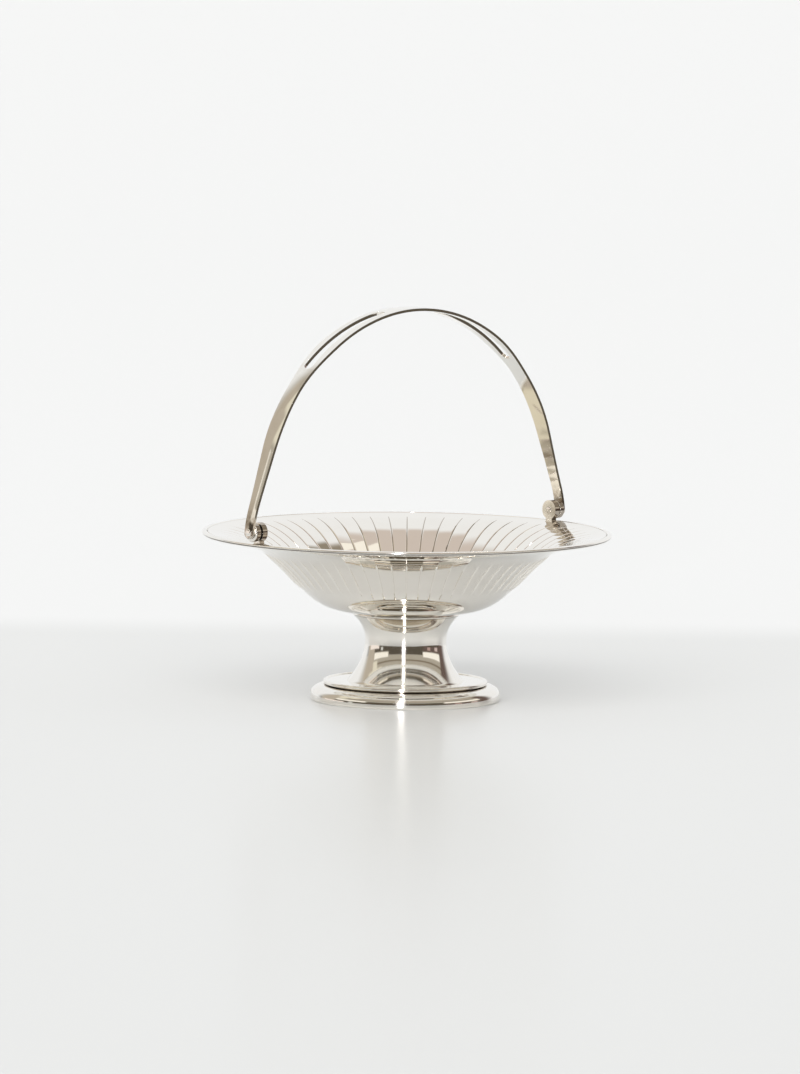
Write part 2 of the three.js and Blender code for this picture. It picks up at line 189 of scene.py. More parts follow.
def bowl_stations():
    """Points along the middle of the metal from its centre to its edge.

    Each has its radius, height, slope, share of crease on top and share of crease underneath.
    """
    shoulder = (SHOULDER_R, RIM_Z - (BRIM_R - SHOULDER_R) * math.tan(BRIM_SLOPE))
    after_floor = (FLOOR_R + FOOT_REACH * math.cos(FOOT_SLOPE), FLOOR_Z + FOOT_REACH * math.sin(FOOT_SLOPE))
    before_shoulder = (
        shoulder[0] - TOP_REACH * math.cos(BRIM_SLOPE),
        shoulder[1] - TOP_REACH * math.sin(BRIM_SLOPE),
    )
    wall = ((FLOOR_R, FLOOR_Z), after_floor, before_shoulder, shoulder)
    out = [(r, FLOOR_Z, 0, 0, 0) for r in (0, 12, 24, 32)]
    steps = 56
    for i in range(steps + 1):
        t = i / steps
        r, z = bezier(wall, t)
        slope = bezier_slope(wall, t) * smooth(t, -0.06, 0.06)
        start = smooth(r, CREASE_IN, CREASE_IN + CREASE_FADE_IN)
        groove = start * (1 - smooth(r, SHOULDER_R - CREASE_FADE_OUT, SHOULDER_R))
        ridge = start * (1 - smooth(r, RIDGE_OUT - RIDGE_FADE, RIDGE_OUT))
        out.append((r, z, slope, groove, ridge))
    for r in (105, 108, 110.6, BRIM_R + SEAM):
        out.append((r, RIM_Z - (BRIM_R - r) * math.tan(BRIM_SLOPE), BRIM_SLOPE, 0, 0))
    return out


def crease_shape(place):
    """How deep the crease is at a place across it, -1 to 1: a round-bottomed groove."""
    return 0.5 * (1 + math.cos(math.pi * place)) if abs(place) < 1 else 0.0


def ridge_shape(place):
    """How high the ridge is at a place across it: steep straight flanks and a flat top."""
    return min(1.0, max(0.0, (1 - abs(place)) / (1 - RIDGE_TOP)))


def make_bowl():
    """The sheet as rings of points, out along its underside and back along its upper face."""
    stations = bowl_stations()
    places = [-1.6, -1.0, -0.66, -RIDGE_TOP, 0.0, RIDGE_TOP, 0.66, 1.0, 1.6]  # across a crease
    between = [0.3, 0.4, 0.5, 0.6, 0.7]  # shares of the way to the next crease
    pitch = TAU / CREASES
    rings = []
    below = (-SHEET / 2, RIDGE_DEPTH, RIDGE_HALF, ridge_shape)
    above = (SHEET / 2, CREASE_DEPTH, CREASE_HALF, crease_shape)
    for offset, high, wide, shape in (below, above):
        side = []
        for r, z, slope, groove, ridge in stations:
            crease = groove if offset > 0 else ridge
            ring = []
            for k in range(CREASES):
                half = min(wide / max(r, 1e-6), pitch / 8)
                spots = [(place * half, shape(place)) for place in places]
                spots += [(share * pitch, 0.0) for share in between]
                for turn, depth in spots:
                    angle = k * pitch + turn
                    bow = r * (1 - math.cos(pitch / 2)) * (1 - (2 * abs(turn / pitch % 1 - 0.5)) ** 2)
                    push = crease * high * depth - groove * PANEL_FLATNESS * bow
                    lift = offset - push
                    out, up = r - lift * math.sin(slope), z + lift * math.cos(slope)
                    ring.append((out * math.cos(angle), out * math.sin(angle), up))
            side.append(ring)
        rings += side if offset < 0 else side[::-1]
    verts = [v for ring in rings for v in ring]
    n = len(rings[0])
    faces = []
    for i in range(len(rings) - 1):
        for k in range(n):
            m = (k + 1) % n
            faces.append((i * n + k, i * n + m, (i + 1) * n + m, (i + 1) * n + k))
    obj = new_object("bowl_skin", verts, faces, sharp=math.radians(50))
    drop_empty_faces(obj)
    return obj


# Handle strap

def strap_numbers():
    """Where the strap's middle bends, its crown's radius and centre, and its length to both."""
    bend_x = STRAP_X - BEND_R * (1 - math.cos(LEAN))
    bend_z = TAB + BEND_R * math.sin(LEAN)
    offset = bend_x * math.cos(LEAN) + bend_z * math.sin(LEAN)
    crown_r = (offset - ARCH * math.sin(LEAN)) / (1 - math.sin(LEAN))
    crown_z = ARCH - crown_r
    leg = (crown_z + crown_r * math.sin(LEAN) - bend_z) / math.cos(LEAN)
    leg_end = TAB + BEND_R * LEAN + leg
    return bend_x, bend_z, crown_r, crown_z, leg_end, leg_end + crown_r * (math.pi / 2 - LEAN)


BEND_X, BEND_Z, CROWN_R, CROWN_Z, LEG_END, HALF = strap_numbers()


def strap_middle(d):
    """Distance out, height above the pin and lean of the strap's middle at d along it."""
    if d <= LEAN_REACH:
        part = d / LEAN_REACH
        lean = HINGE_LEAN + (LEAN - HINGE_LEAN) * part
        between = (lean + LEAN) / 2
        start_x, start_z, _ = strap_middle(LEAN_REACH + 0.001)
        back = LEAN_REACH - d
        return start_x + back * math.sin(between), start_z - back * math.cos(between), lean
    if d <= LEG_END:
        run = d - TAB - BEND_R * LEAN
        return BEND_X - run * math.sin(LEAN), BEND_Z + run * math.cos(LEAN), LEAN
    lean = LEAN + (d - LEG_END) / CROWN_R
    return CROWN_R * math.cos(lean), CROWN_Z + CROWN_R * math.sin(lean), lean


# Where the strap grows wider and, near its top, narrower: by how much, from where to where along it
STRAP_SWELLS = ((3.8, 10, 66), (5.2, 84, 120), (-0.8, HALF - 35, HALF))


def strap_half(d):
    """Half the strap's width, round at its end."""
    if d < 0:
        return math.sqrt(max(0.0, STRAP_END * STRAP_END - d * d))
    width = 2 * STRAP_END
    for gain, start, end in STRAP_SWELLS:
        width += gain * smooth(d, start, end)
    return width / 2


def slot_half(d):
    """Half the slot's width, round at both its ends."""
    end = SLOT_W / 2
    gap = min(d - SLOT_START, HALF - BRIDGE / 2 - d)
    if gap <= 0:
        return 0.0
    inset = max(0.0, end - gap)
    return math.sqrt(end * end - inset * inset)


def cosine_steps(start, end, steps):
    """Distances bunched near the start, as a round end needs."""
    return [start + (end - start) * (1 - math.cos(math.pi / 2 * i / steps)) for i in range(steps)]


def even_steps(start, end, steps):
    return [start + (end - start) * i / steps for i in range(steps)]


def make_strap():
    """The strap as a row of stations, its outer face slightly crowned and its edges broken."""
    slot_end = HALF - BRIDGE / 2
    slot_r = SLOT_W / 2
    ds = cosine_steps(-STRAP_END, 0, 10) + even_steps(0, LEAN_REACH, 10)
    ds += even_steps(LEAN_REACH, LEG_END, 22) + even_steps(LEG_END, SLOT_START, 26)
    ds += cosine_steps(SLOT_START, SLOT_START + slot_r, 10)
    ds += even_steps(SLOT_START + slot_r, slot_end - slot_r, 30)
    ds += [slot_end - slot_r] + cosine_steps(slot_end, slot_end - slot_r, 10)[::-1]
    ds += even_steps(slot_end, HALF, 12)[1:] + [HALF]
    path = [(1, d) for d in ds] + [(-1, d) for d in ds[::-1][1:]]
    shares = (0, 0.15, 0.35, 0.65, 1)
    rows = len(shares)
    verts, faces = [], []
    for side, d in path:
        x, z, lean = strap_middle(d)
        edge, slot = strap_half(d), slot_half(d)
        for half in (-1, 1):
            for share in shares:
                y = edge + (slot - edge) * share
                drop = STRAP_CROWN * (y / edge) ** 2 if edge > 0 else 0
                for out in (STRAP_T / 2 - drop, -STRAP_T / 2):
                    up = HINGE_Z + z + out * math.sin(lean)
                    verts.append((side * (x + out * math.cos(lean)), half * y, up))
    # A station has two bars, each with outer and inner points from its edge to the slot
    stride = 4 * rows
    for i in range(len(path) - 1):
        a, b = stride * i, stride * (i + 1)
        slotted = slot_half(path[i][1]) > 0 or slot_half(path[i + 1][1]) > 0
        for bar in (0, 2 * rows):
            for k in range(bar, bar + 2 * rows - 2, 2):
                faces.append((a + k, a + k + 2, b + k + 2, b + k))
                faces.append((a + k + 3, a + k + 1, b + k + 1, b + k + 3))
            faces.append((a + bar + 1, a + bar, b + bar, b + bar + 1))
            if slotted:
                wall = bar + 2 * rows - 2
                faces.append((a + wall, a + wall + 1, b + wall + 1, b + wall))
    obj = new_object("strap_skin", verts, faces)
    drop_empty_faces(obj)
    break_edges(obj, STRAP_BEVEL, 50)
    return obj


def break_edges(obj, width, angle):
    """Breaks the edges that turn more than an angle in degrees.

    The width is a limit: Blender keeps the bevel far narrower where points lie close together.
    """
    bevel = obj.modifiers.new("edges", "BEVEL")
    bevel.width = width * MM
    bevel.segments = 4
    bevel.limit_method = "ANGLE"
    bevel.angle_limit = math.radians(angle)
    bevel.harden_normals = True


# Hinge pieces, made for the +X side and turned half round for the other

def lug_half(seat):
    """The lug's half toward +Y: up its foot and neck and over the disc, and back round the hole."""
    steps = 8
    flank = []
    for i in range(steps + 1):
        t = i / steps
        half = (1 - t) ** 2 * NECK_FOOT + 2 * t * (1 - t) * NECK_HALF + t * t * NECK_HALF
        flank.append((half, seat + NECK_FLARE * t * t))
    join = math.degrees(math.asin(NECK_HALF / LUG_R))
    return flank + arc(0, 0, LUG_R, join - 90, 90, 32), arc(0, 0, HOLE_R, 90, -90, 16)


def make_lug(name, turn):
    """Disc on a short neck that spreads into a foot on the brim, which is higher at the outer end."""
    outside, hole = lug_half(brim_top(LUG_IN) - HINGE_Z)
    # Points below the brim are lifted to it, also the first one, midway under the foot
    line = [(0, -HINGE_Z)] + outside + hole
    n, top = len(line), len(outside)
    cut = sum(HINGE_Z + z < brim_top(LUG_OUT) for _, z in outside)  # how many more at the outer end
    verts, faces = [], []
    for half in (1, -1):
        first, second = len(verts), len(verts) + n
        for x in (LUG_IN, LUG_OUT):
            verts += [(x, half * y, max(HINGE_Z + z, brim_top(x))) for y, z in line]
        faces.append(tuple(range(first, first + n)))
        faces.append((second, *range(second + cut, second + n)))
        faces.append((first, first + 1, *range(second + 1, second + cut + 1), second))
        for k in range(1, n - 1):
            if k != top:
                faces.append((first + k, first + k + 1, second + k + 1, second + k))
    obj = new_object(name, verts, faces, sharp=math.pi)
    break_edges(obj, LUG_BEVEL, 40)
    half_turn(obj, turn)
    return obj


def brim_top(r):
    """Height of the brim's upper face."""
    return RIM_Z - (BRIM_R - r) * math.tan(BRIM_SLOPE) + SHEET / 2 / math.cos(BRIM_SLOPE)


def half_turn(obj, turn):
    if turn:
        obj.data.transform(Matrix.Rotation(math.pi, 4, "Z"))


def make_knuckle(name, turn):
    """Disc with a rounded rim, thick enough to show past the strap's end."""
    inner_r, outer_r, inner, outer = 0.4, 0.9, KNUCKLE_IN, KNUCKLE_OUT + KNUCKLE_BOSS
    outline = [(HOLE_R, outer - 0.15), (HOLE_R, inner + 0.2), (HOLE_R + 0.2, inner)]
    outline += arc(KNUCKLE_R - inner_r, inner + inner_r, inner_r, -90, 0, 6)
    outline += arc(KNUCKLE_R - outer_r, outer - outer_r, outer_r, 0, 90, 8)
    outline += [(HOLE_R + 0.15, outer)]
    obj = lathe(name, outline, KNUCKLE_SIDES, "x", (0, 0, HINGE_Z))
    half_turn(obj, turn)
    return obj


def make_pin(name, turn):
    """Rivet with a low dome at each end."""
    inner, outer = LUG_IN, strap_middle(0)[0] + STRAP_T / 2
    dome = [math.radians(a) for a in range(0, 91, 10)]
    outline = [(HEAD_R * math.sin(a), inner - HEAD_H * math.cos(a)) for a in dome]
    outline += [(PIN_R, inner), (PIN_R, outer)]
    outline += [(HEAD_R * math.sin(a), outer + HEAD_H * math.cos(a)) for a in dome[::-1]]
    obj = lathe(name, outline, PIN_SIDES, "x", (0, 0, HINGE_Z))
    half_turn(obj, turn)
    return obj


# Stem, collar and foot

def make_collar():
    bore = NECK_R - SHEET
    outline = [(bore, COLLAR_TOP), (bore, STEM_TOP)]
    outline += arc(NECK_R, STEM_TOP + BEAD_R, BEAD_R, -90, 90, 14)
    outline += flare(NECK_R, COLLAR_FLARE, STEM_TOP + 2 * BEAD_R, COLLAR_TOP - SEAM, 2, 10)[1:]
    outline += [(COLLAR_FLARE, COLLAR_TOP)]
    return lathe("collar_skin", outline, SIDES)


def make_stem():
    outside = flare(WAIST_R, STEM_FOOT_R, WAIST_Z, LEDGE_Z + PLATE / 2 + SEAM, FOOT_POWER, 28)[::-1]
    outside = [(STEM_FOOT_R + 0.15, LEDGE_Z + PLATE / 2)] + outside
    outside += flare(WAIST_R, NECK_R, WAIST_Z, STEM_TOP, NECK_POWER, 28)[1:]
    inside = [(r - SHEET, z) for r, z in outside][::-1]
    return lathe("stem_skin", outside + inside, SIDES)


def make_ledge():
    centre = LEDGE_R - ROLL_R
    edge = centre - math.sqrt(ROLL_R ** 2 - (PLATE / 2) ** 2)
    tilt = math.degrees(math.asin(PLATE / 2 / ROLL_R))
    upper, lower = LEDGE_Z + PLATE / 2, LEDGE_Z - PLATE / 2
    outline = [(LEDGE_BORE, upper), (LEDGE_BORE, lower), (edge, lower)]
    outline += arc(centre, LEDGE_Z, ROLL_R, -180 + tilt, 180 - tilt, 28)[1:]
    return lathe("ledge_skin", outline, SIDES)


def bulge(top_r, widest_r, top_z, steps):
    """Outline of the base ring from its widest point up and in to its shoulder."""
    out = []
    for i in range(steps + 1):
        a = math.pi / 2 * i / steps
        across, up = math.cos(a) ** (2 / FULLNESS), math.sin(a) ** (2 / FULLNESS)
        out.append((top_r + (widest_r - top_r) * across, BASE_LIP + (top_z - BASE_LIP) * up))
    return out


def make_base():
    top = LEDGE_Z - PLATE / 2 - SEAM
    neck = LEDGE_R - 2 * ROLL_R - SEAM
    shoulder = LEDGE_Z - ROLL_R - SEAM
    bore = neck - BASE_WALL
    inside = [(bore, top)] + bulge(bore, BASE_R - BASE_WALL, shoulder - BASE_WALL, 12)[::-1]
    inside += [(TREAD_R - TREAD_W, 0)]
    outside = bulge(neck, BASE_R, shoulder, 36) + [(neck, top)]
    lip = []
    for i in range(1, 9):
        t = i / 8
        r = (1 - t) ** 2 * TREAD_R + 2 * t * (1 - t) * BASE_R + t * t * BASE_R
        lip.append((r, BASE_LIP * t * t))
    return lathe("base_skin", inside + [(TREAD_R, 0)] + lip + outside[1:], SIDES)


def make_wire():
    """Squared wire, its flat top leaning outward."""
    outline = []
    c, s = math.cos(WIRE_TILT), math.sin(WIRE_TILT)
    for x, y in arc(0, 0, 1, 0, 360, 56)[:-1]:
        across, above = (math.copysign(abs(v) ** (2 / WIRE_FULLNESS), v) for v in (x, y))
        across, above = across * WIRE_R, above * WIRE_HALF_HEIGHT
        height = RIM_Z - WIRE_DROP + across * s + above * c
        outline.append((WIRE_CENTRE + across * c - above * s, height))
    return lathe("wire_skin", outline, WIRE_SIDES)


# Shader helpers

def link(tree, a, b):
    tree.links.new(a, b)


def math_node(tree, kind, *values):
    node = tree.nodes.new("ShaderNodeMath")
    node.operation = kind
    for socket, value in zip(node.inputs, values):
        if isinstance(value, (int, float)):
            socket.default_value = value
        else:
            link(tree, value, socket)
    return node.outputs[0]


def product(tree, first, *others):
    for other in others:
        first = math_node(tree, "MULTIPLY", first, other)
    return first


def distance(tree, a, b):
    """How far (a, b) is from the middle."""
    return math_node(tree, "SQRT", math_node(tree, "ADD", product(tree, a, a), product(tree, b, b)))


def ramp(tree, value, start, end, low=0.0, high=1.0):
    """From low at start to high at end, smoothly."""
    node = tree.nodes.new("ShaderNodeMapRange")
    node.interpolation_type = "SMOOTHSTEP"
    node.inputs["From Min"].default_value = start
    node.inputs["From Max"].default_value = end
    node.inputs["To Min"].default_value = low
    node.inputs["To Max"].default_value = high
    link(tree, value, node.inputs["Value"])
    return node.outputs["Result"]


def band(tree, value, start, end, soft):
    """1 between start and end, 0 outside."""
    rise = ramp(tree, value, start - soft, start + soft)
    fall = ramp(tree, value, end + soft, end - soft)
    return product(tree, rise, fall)


def over(tree, amount, below, colour):
    """A colour laid over what is there, where amount is 1."""
    mix = tree.nodes.new("ShaderNodeMix")
    mix.data_type = "RGBA"
    link(tree, amount, mix.inputs["Factor"])
    for name, value in (("A", below), ("B", colour)):
        if isinstance(value, tuple):
            mix.inputs[name].default_value = (*value, 1)
        else:
            link(tree, value, mix.inputs[name])
    return mix.outputs["Result"]


def along(tree, vector, axis):
    """How far a vector reaches along an axis."""
    node = tree.nodes.new("ShaderNodeVectorMath")
    node.operation = "DOT_PRODUCT"
    node.inputs[1].default_value = axis
    link(tree, vector, node.inputs[0])
    return node.outputs["Value"]


def noise(tree, coords, scale, detail):
    node = tree.nodes.new("ShaderNodeTexNoise")
    node.inputs["Scale"].default_value = scale
    node.inputs["Detail"].default_value = detail
    link(tree, coords.outputs["Object"], node.inputs["Vector"])
    return node.outputs["Fac"]


# Silver, with the marks that polishing leaves

SILVER = (0.93, 0.905, 0.86)
# The middle colour is tarnish in some places and painted shade in others; the last is painted shade under
# the wire
DULL_SILVER, TARNISH_AND_SHADE, WIRE_SHADE_COLOUR = (0.8, 0.76, 0.69), (0.3, 0.24, 0.18), (0.08, 0.06, 0.045)
RIPPLE_HEIGHT = 1 * MM
# Noise scales per metre
POLISH_SCALE, RIPPLE_SCALE, DULL_SCALE, BLOTCH_SCALE, STAIN_SCALE = 38, 55, 90, 260, 420
# How much of a mark's colour covers the silver where it is strongest
# Strengths of tarnish and painted shade in the grooves, and of painted shade in the rim's corner and on the
# flats below
CREASE_LINE, RIM_CORNER, RIDGE_FLATS = 0.65, 0.25, 0.12
# Strengths of painted shade under the wire, in the ledge's gap and on the collar's seam
WIRE_UNDERSIDE_SHADE, LEDGE_GAP, COLLAR_LINE = 0.85, 0.6, 0.7
DISC_RIM, DISC_BLOTCH = 0.75, 0.12
STAIN_FAINT, STAIN_STRONG, STAIN_FROM, STAIN_TO = 0.3, 0.8, 17, 5


def silver(name, rough, ripple, dulling, dirt_and_shade):
    """Polished plate: uneven polish, faint ripples from buffing, dull spots, and dirt and painted shade in
    one colour.

    The ripple is a strength, or makes one in the tree. The dirt and painted shade make their share and give
    their colour.
    """
    mat = bpy.data.materials.new(name)
    mat.use_nodes = True
    tree = mat.node_tree
    bsdf = tree.nodes["Principled BSDF"]
    bsdf.inputs["Metallic"].default_value = 1.0
    coords = tree.nodes.new("ShaderNodeTexCoord")
    polish = ramp(tree, noise(tree, coords, POLISH_SCALE, 4), 0.3, 0.7, rough * 0.85, rough * 1.2)
    link(tree, polish, bsdf.inputs["Roughness"])
    dull = ramp(tree, noise(tree, coords, DULL_SCALE, 6), 0.45, 0.75, 0.0, dulling)
    marks, mark_colour = dirt_and_shade
    colour = over(tree, marks(tree, coords), over(tree, dull, SILVER, DULL_SILVER), mark_colour)
    link(tree, colour, bsdf.inputs["Base Color"])
    bump = tree.nodes.new("ShaderNodeBump")
    if callable(ripple):
        link(tree, ripple(tree), bump.inputs["Strength"])
    else:
        bump.inputs["Strength"].default_value = ripple
    bump.inputs["Distance"].default_value = RIPPLE_HEIGHT
    link(tree, noise(tree, coords, RIPPLE_SCALE, 1), bump.inputs["Height"])
    link(tree, bump.outputs["Normal"], bsdf.inputs["Normal"])
    return mat


def place_of(tree, coords):
    """X, Y, height and distance from the axis, in millimetres."""
    split = tree.nodes.new("ShaderNodeSeparateXYZ")
    link(tree, coords.outputs["Object"], split.inputs["Vector"])
    x, y, z = (product(tree, split.outputs[k], 1 / MM) for k in ("X", "Y", "Z"))
    return x, y, z, distance(tree, x, y)


def facing(tree, axis):
    """How much the surface faces along an axis."""
    return along(tree, tree.nodes.new("ShaderNodeNewGeometry").outputs["Normal"], axis)


def wavy_below(tree):
    """The bowl's underside is buffed by hand and a little uneven, the inside is smooth."""
    return ramp(tree, facing(tree, (0, 0, 1)), -0.1, 0.1, 0.05, 0.012)


def in_creases(tree, coords):
    """Tarnish and painted shade as a dark line in every groove; painted shade in the corner along the rim,
    and on the flats between the ridges below so that the ridges read as lit.
    """
    x, y, _, radius = place_of(tree, coords)
    turn = product(tree, math_node(tree, "ARCTAN2", y, x), CREASES / TAU)
    off = math_node(tree, "ABSOLUTE", math_node(tree, "SUBTRACT", turn, math_node(tree, "ROUND", turn)))
    across = product(tree, off, TAU / CREASES, radius)
    upper = ramp(tree, facing(tree, (0, 0, 1)), 0.1, 0.3)
    lower = ramp(tree, upper, 1.0, 0.0)
    # Tarnish and painted shade along each groove on the upper face
    line = ramp(tree, across, 0.1, 0.36, CREASE_LINE, 0.0)
    groove = product(tree, line, band(tree, radius, CREASE_IN + 3, SHOULDER_R - 0.5, 0.8), upper)
    # Painted shade in the corner along the rim
    corner = product(tree, ramp(tree, radius, BRIM_R - 0.7, BRIM_R - 0.1), RIM_CORNER)
    # Painted shade on the flats between the ridges underneath, so the ridges read as lit
    ridges = band(tree, radius, CREASE_IN + 3, RIDGE_OUT, 3)
    flats = product(tree, ramp(tree, across, 0.3, 0.55), ridges, lower, RIDGE_FLATS)
    return math_node(tree, "MAXIMUM", math_node(tree, "MAXIMUM", groove, corner), flats)


def wire_underside_shade(tree, coords):
    """Painted shade: a dark line where the wire's outer face turns under."""
    _, _, height, radius = place_of(tree, coords)
    line = band(tree, height, RIM_Z - 1.0, RIM_Z - 0.4, 0.15)
    outside = ramp(tree, radius, WIRE_CENTRE, WIRE_CENTRE + 0.3)
    return product(tree, line, outside, WIRE_UNDERSIDE_SHADE)


def under_ledge(tree, coords):
    """Painted shade in the gap between the ledge's roll and the base ring, and painted shade on the line
    under the collar.
    """
    _, _, height, radius = place_of(tree, coords)
    gap = band(tree, height, LEDGE_Z - ROLL_R - 0.5, LEDGE_Z - 0.75, 0.15)
    inside = ramp(tree, radius, LEDGE_R + 0.2, LEDGE_R - 0.6)
    ring = product(tree, gap, inside, LEDGE_GAP)
    line = product(tree, band(tree, height, STEM_TOP - 0.35, STEM_TOP + 0.1, 0.1), COLLAR_LINE)
    return math_node(tree, "MAXIMUM", ring, line)


def round_discs(tree, coords):
    """Brown round the discs' rims, where no cloth reaches, and blotches on their faces."""
    flat = math_node(tree, "ABSOLUTE", facing(tree, (1, 0, 0)))
    rim_dirt = ramp(tree, flat, 0.85, 0.35, 0.0, DISC_RIM)
    blotch = ramp(tree, noise(tree, coords, BLOTCH_SCALE, 3), 0.45, 0.65, 0.0, DISC_BLOTCH)
    return math_node(tree, "MAXIMUM", rim_dirt, blotch)


def near_hinge(tree, coords):
    """Brown blotches on the strap's ends."""
    _, y, z, _ = place_of(tree, coords)
    off = distance(tree, y, math_node(tree, "SUBTRACT", z, HINGE_Z))
    stain = ramp(tree, noise(tree, coords, STAIN_SCALE, 3), 0.35, 0.65, STAIN_FAINT, STAIN_STRONG)
    return product(tree, ramp(tree, off, STAIN_FROM, STAIN_TO), stain)


bright = silver("silver_bright", rough=0.03, ripple=wavy_below, dulling=0.15, dirt_and_shade=(in_creases, TARNISH_AND_SHADE))
rim = silver("silver_rim", rough=0.04, ripple=0.006, dulling=0.15, dirt_and_shade=(wire_underside_shade, WIRE_SHADE_COLOUR))
turned = silver("silver_turned", rough=0.08, ripple=0.003, dulling=0.15, dirt_and_shade=(under_ledge, TARNISH_AND_SHADE))
worn = silver("silver_worn", rough=0.06, ripple=0.04, dulling=0.4, dirt_and_shade=(near_hinge, TARNISH_AND_SHADE))
hinge = silver("silver_hinge", rough=0.1, ripple=0.03, dulling=0.2, dirt_and_shade=(round_discs, TARNISH_AND_SHADE))


# Pieces

def dress(obj, material, body, *nodes):
    obj.data.materials.clear()
    obj.data.materials.append(material)
    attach(obj, body)
    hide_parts(*nodes)


dress(make_bowl(), bright, "bowl", "bowl_shell")
dress(make_wire(), rim, "bowl", "rim_wire")
dress(make_collar(), turned, "bowl", "stem_collar")
dress(make_stem(), turned, "bowl", "stem")
dress(make_ledge(), turned, "bowl", "foot_ledge")
dress(make_base(), turned, "bowl", "foot_base")
dress(make_strap(), worn, "handle", "handle_strap")
for label, turn in (("right", False), ("left", True)):
    dress(make_lug(f"lug_skin_{label}", turn), hinge, "bowl", f"lug_{label}")
    dress(make_knuckle(f"knuckle_skin_{label}", turn), hinge, "handle", f"knuckle_{label}")
    dress(make_pin(f"pin_skin_{label}", turn), hinge, "bowl", f"hinge_pin_{label}")


# Camera, fitted to the ellipses in the photograph

AZ, EL, ROLL = math.radians(-42), math.radians(5.72), math.radians(0.65)
DISTANCE, FOCAL_PX, IMAGE_HEIGHT_PX = 5.0, 8895.0, 1074
AIM_RIGHT_PX, AIM_UP_PX, SENSOR = 7.0, 4.05, 36
toward = Vector((math.sin(AZ) * math.cos(EL), -math.cos(AZ) * math.cos(EL), math.sin(EL)))
flat_toward = Vector((toward.x, toward.y, 0)).normalized()
right = Vector((math.cos(AZ), math.sin(AZ), 0))
up = toward.cross(right)
cam_right = right * math.cos(ROLL) + up * math.sin(ROLL)
cam_up = -right * math.sin(ROLL) + up * math.cos(ROLL)
target = Vector((0, 0, RIM_Z * MM))
stand = target + toward * DISTANCE
aim = target - (cam_right * AIM_RIGHT_PX + cam_up * AIM_UP_PX) * DISTANCE / FOCAL_PX
back = (stand - aim).normalized()
side = cam_up.cross(back).normalized()
top = back.cross(side)
camera_data = bpy.data.cameras.new("camera")
camera_data.lens = FOCAL_PX * SENSOR / IMAGE_HEIGHT_PX
camera_data.sensor_width = SENSOR
camera_data.clip_end = 50
camera = bpy.data.objects.new("camera", camera_data)
rotation = Matrix((side, top, back)).transposed().to_4x4()
camera.matrix_world = Matrix.Translation(stand) @ rotation
bpy.context.scene.collection.objects.link(camera)
bpy.context.scene.camera = camera


# Table, in metres from the bowl's axis

TABLE_LEFT, TABLE_RIGHT, TABLE_FRONT, TABLE_BACK = 1.02, 0.62, 1.5, 30.0
FLOOR_REACH = 30.0
# Where the table's white turns into the backdrop's on each side
FADES = (
    (right, 0.35, 0.55),
    (-right, 0.6, 0.85),
    (flat_toward, 1.32, 1.45),
    (-flat_toward, 0.3, 0.42),
)
TABLE_WHITE, BACKDROP_WHITE = (0.8, 0.803, 0.795), (0.92, 0.92, 0.918)


def table_white():
    mat = bpy.data.materials.new("table_white")
    mat.use_nodes = True
    tree = mat.node_tree
    bsdf = tree.nodes["Principled BSDF"]
    bsdf.inputs["Roughness"].default_value = 0.25
    bsdf.inputs["Specular IOR Level"].default_value = 0.2
    place = tree.nodes.new("ShaderNodeTexCoord").outputs["Object"]
    colour = TABLE_WHITE
    for axis, start, end in FADES:
        colour = over(tree, ramp(tree, along(tree, place, axis), start, end), colour, BACKDROP_WHITE)
    link(tree, colour, bsdf.inputs["Base Color"])
    return mat


def make_table(name, mat, *fields, in_metal):
    """Rectangles of table, each from its left and front to its right and rear."""
    verts, faces = [], []
    for left, front, far_right, rear in fields:
        faces.append(tuple(range(len(verts), len(verts) + 4)))
        for across, ahead in ((left, rear), (far_right, rear), (far_right, front), (left, front)):
            verts.append(tuple(right * across + flat_toward * ahead))
    mesh = bpy.data.meshes.new(name)
    mesh.from_pydata(verts, [], faces)
    mesh.materials.append(mat)
    obj = bpy.data.objects.new(name, mesh)
    obj.visible_glossy = in_metal
    bpy.context.scene.collection.objects.link(obj)


white = table_white()
make_table("table", white, (-TABLE_LEFT, TABLE_FRONT, TABLE_RIGHT, -TABLE_BACK), in_metal=True)
# Past its edges the metal shows the room, and the floor goes on for every other view
make_table(
    "floor", white,
    (-FLOOR_REACH, FLOOR_REACH, -TABLE_LEFT, -TABLE_BACK),
    (TABLE_RIGHT, FLOOR_REACH, FLOOR_REACH, -TABLE_BACK),
    (-TABLE_LEFT, FLOOR_REACH, TABLE_RIGHT, TABLE_FRONT),
    in_metal=False,
)


# Room: plain pale light, and what polished metal reflects of it.
# Heading 0 is toward the camera and 90 to its right, height 90 is straight up, in degrees.

PLAIN, BACKDROP = (0.67, 0.675, 0.67), (0.9, 0.905, 0.905)
SHADE, RUSTY_SHADE = (0.10, 0.085, 0.065), (0.14, 0.1, 0.085)
WALLS, SIDE_WALLS = (0.43, 0.39, 0.32), (0.5, 0.44, 0.36)
CEILING, CEILING_SHADE = (0.64, 0.56, 0.5), (0.3, 0.26, 0.2)
WINDOW, MOULDING = (1.0, 0.95, 0.85), (0.22, 0.18, 0.13)
WINDOWS, SKYLIGHTS = ((-95, -50), (50, 105)), ((0.235, 0.27), (0.295, 0.42))
LOW_PANES = (
    (-73, -67, (0.8, 0.8, 0.75)),
    (63, 73, (0.45, 0.32, 0.28)),
    (88, 99, (0.6, 0.48, 0.44)),
)
LEFT_POST, RIGHT_POST = (-122, -96), (105, 125)
PINK_PANEL, LIT_WALL = (0.95, 0.85, 0.78), (0.78, 0.73, 0.59)
# The narrow bright strip that makes the streak on the stem, and the glow round it
STRIP, STRIP_SPAN = (11.0, 10.8, 10.6), (-7.2, -3.7)
HALO, HALO_SPAN = (1.6, 1.55, 1.6), (-9.5, -1.5)
STRIP_HEIGHT = (-12, 72)


